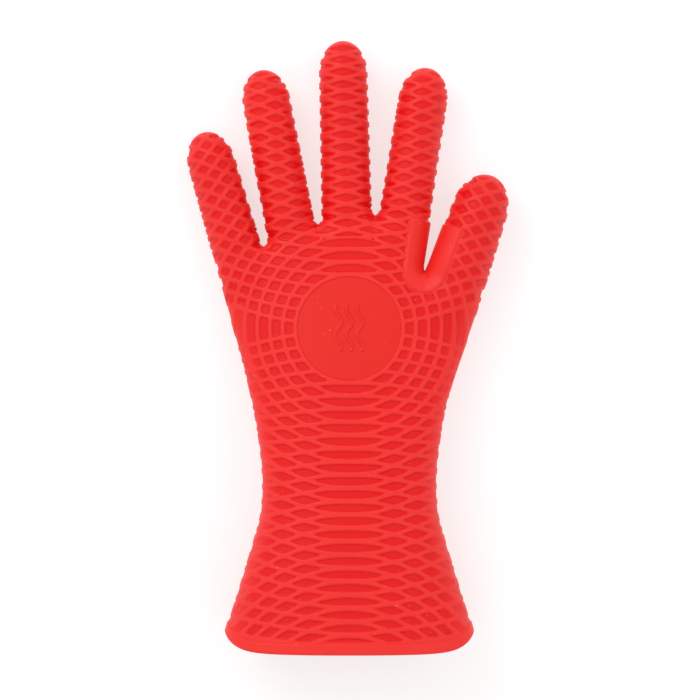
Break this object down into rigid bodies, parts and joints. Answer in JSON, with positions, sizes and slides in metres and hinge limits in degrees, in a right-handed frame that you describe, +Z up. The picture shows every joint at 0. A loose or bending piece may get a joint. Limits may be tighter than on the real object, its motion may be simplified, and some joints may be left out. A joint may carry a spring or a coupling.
{
  "type": "heat resistant glove",
  "caption": "Five-finger silicone grilling glove with a ribbed lattice grip, a smooth palm disc and a flared cuff, lying flat, palm up.",
  "frame": {"origin": "on the flat underside, straight below the centre of the palm disc", "axes": "+X towards the thumb, +Y towards the fingertips, +Z up from the surface the glove lies on, out of the palm"},
  "size_m": [0.158, 0.2951, 0.0542],
  "materials": {
    "ribbed_silicone": "satin",
    "smooth_silicone": "satin"
  },
  "bodies": {
    "gauntlet": {"cuff_shell": "ribbed_silicone", "hem_band_ring": "smooth_silicone", "wrist_bend": "ribbed_silicone"},
    "hand": {"palm_shell": "ribbed_silicone", "palm_disc": "smooth_silicone", "thumb_web_guard": "smooth_silicone", "little_root_bend": "ribbed_silicone", "ring_root_bend": "ribbed_silicone", "middle_root_bend": "ribbed_silicone", "index_root_bend": "ribbed_silicone", "thumb_root_bend": "ribbed_silicone"},
    "little_lower": {"little_lower_stall": "ribbed_silicone", "little_mid_bend": "ribbed_silicone"},
    "little_tip": {"little_tip_stall": "ribbed_silicone"},
    "ring_lower": {"ring_lower_stall": "ribbed_silicone", "ring_mid_bend": "ribbed_silicone"},
    "ring_tip": {"ring_tip_stall": "ribbed_silicone"},
    "middle_lower": {"middle_lower_stall": "ribbed_silicone", "middle_mid_bend": "ribbed_silicone"},
    "middle_tip": {"middle_tip_stall": "ribbed_silicone"},
    "index_lower": {"index_lower_stall": "ribbed_silicone", "index_mid_bend": "ribbed_silicone"},
    "index_tip": {"index_tip_stall": "ribbed_silicone"},
    "thumb_lower": {"thumb_lower_stall": "ribbed_silicone", "thumb_mid_bend": "ribbed_silicone"},
    "thumb_tip": {"thumb_tip_stall": "ribbed_silicone"}
  },
  "joints": [
    {"name": "wrist_flex", "type": "hinge", "parent": "gauntlet", "child": "hand", "pos_m": [0, -0.075, 0.021], "axis": [1, 0, 0], "range_deg": [0, 40], "stiffness_Nm_per_rad": 1.2, "deforming": ["wrist_bend"]},
    {"name": "little_root_flex", "type": "hinge", "parent": "hand", "child": "little_lower", "pos_m": [-0.05748, 0.0465, 0.0126], "axis": [0.9603, 0.279, 0], "range_deg": [0, 60], "stiffness_Nm_per_rad": 0.15, "deforming": ["little_root_bend"]},
    {"name": "little_mid_flex", "type": "hinge", "parent": "little_lower", "child": "little_tip", "pos_m": [-0.06502, 0.07245, 0.0126], "axis": [0.9603, 0.279, 0], "range_deg": [0, 60], "stiffness_Nm_per_rad": 0.1, "deforming": ["little_mid_bend"]},
    {"name": "ring_root_flex", "type": "hinge", "parent": "hand", "child": "ring_lower", "pos_m": [-0.03074, 0.05921, 0.0126], "axis": [0.9823, 0.1874, 0], "range_deg": [0, 60], "stiffness_Nm_per_rad": 0.15, "deforming": ["ring_root_bend"]},
    {"name": "ring_mid_flex", "type": "hinge", "parent": "ring_lower", "child": "ring_tip", "pos_m": [-0.03764, 0.09537, 0.0126], "axis": [0.9823, 0.1874, 0], "range_deg": [0, 60], "stiffness_Nm_per_rad": 0.1, "deforming": ["ring_mid_bend"]},
    {"name": "middle_root_flex", "type": "hinge", "parent": "hand", "child": "middle_lower", "pos_m": [-0.00154, 0.0661, 0.0127], "axis": [0.9997, 0.0244, 0], "range_deg": [0, 60], "stiffness_Nm_per_rad": 0.15, "deforming": ["middle_root_bend"]},
    {"name": "middle_mid_flex", "type": "hinge", "parent": "middle_lower", "child": "middle_tip", "pos_m": [-0.00253, 0.10669, 0.0127], "axis": [0.9997, 0.0244, 0], "range_deg": [0, 60], "stiffness_Nm_per_rad": 0.1, "deforming": ["middle_mid_bend"]},
    {"name": "index_root_flex", "type": "hinge", "parent": "hand", "child": "index_lower", "pos_m": [0.0284, 0.06416, 0.0129], "axis": [0.9877, -0.1564, 0], "range_deg": [0, 60], "stiffness_Nm_per_rad": 0.15, "deforming": ["index_root_bend"]},
    {"name": "index_mid_flex", "type": "hinge", "parent": "index_lower", "child": "index_tip", "pos_m": [0.03376, 0.09798, 0.0129], "axis": [0.9877, -0.1564, 0], "range_deg": [0, 60], "stiffness_Nm_per_rad": 0.1, "deforming": ["index_mid_bend"]},
    {"name": "thumb_root_flex", "type": "hinge", "parent": "hand", "child": "thumb_lower", "pos_m": [0.05511, 0.03257, 0.0152], "axis": [0.9472, -0.3206, 0], "range_deg": [0, 45], "stiffness_Nm_per_rad": 0.15, "deforming": ["thumb_root_bend", "thumb_web_guard"]},
    {"name": "thumb_mid_flex", "type": "hinge", "parent": "thumb_lower", "child": "thumb_tip", "pos_m": [0.06243, 0.05419, 0.0152], "axis": [0.9472, -0.3206, 0], "range_deg": [0, 50], "stiffness_Nm_per_rad": 0.1, "deforming": ["thumb_mid_bend"]}
  ]
}
